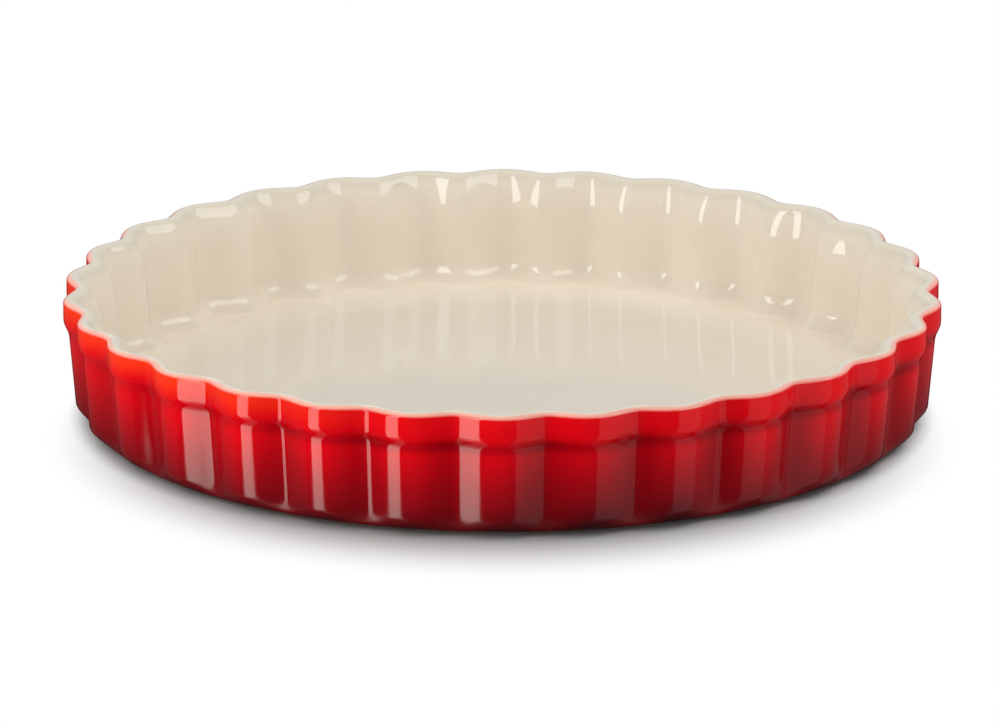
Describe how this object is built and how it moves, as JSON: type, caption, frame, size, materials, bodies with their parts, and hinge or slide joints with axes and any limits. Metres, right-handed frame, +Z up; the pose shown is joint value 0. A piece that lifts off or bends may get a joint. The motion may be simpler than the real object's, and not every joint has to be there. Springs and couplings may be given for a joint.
{
  "type": "tart dish",
  "caption": "Round shallow stoneware tart dish with a fluted wall, a raised band under the rim, a coloured outer glaze, a pale inner glaze and a bare foot ring.",
  "frame": {"origin": "middle of the foot ring, on the table under the dish", "axes": "+Z up along the dish's axis, -Y to the front, with one flute's outward lobe on -Y"},
  "size_m": [0.2838, 0.2854, 0.042],
  "materials": {
    "stoneware": "matte",
    "outer_glaze": "gloss",
    "inner_glaze": "gloss",
    "underside_glaze": "gloss"
  },
  "bodies": {
    "root": {"stoneware_body": "stoneware", "outer_glaze": "outer_glaze", "inner_glaze": "inner_glaze", "underside_glaze": "underside_glaze"}
  },
  "joints": []
}
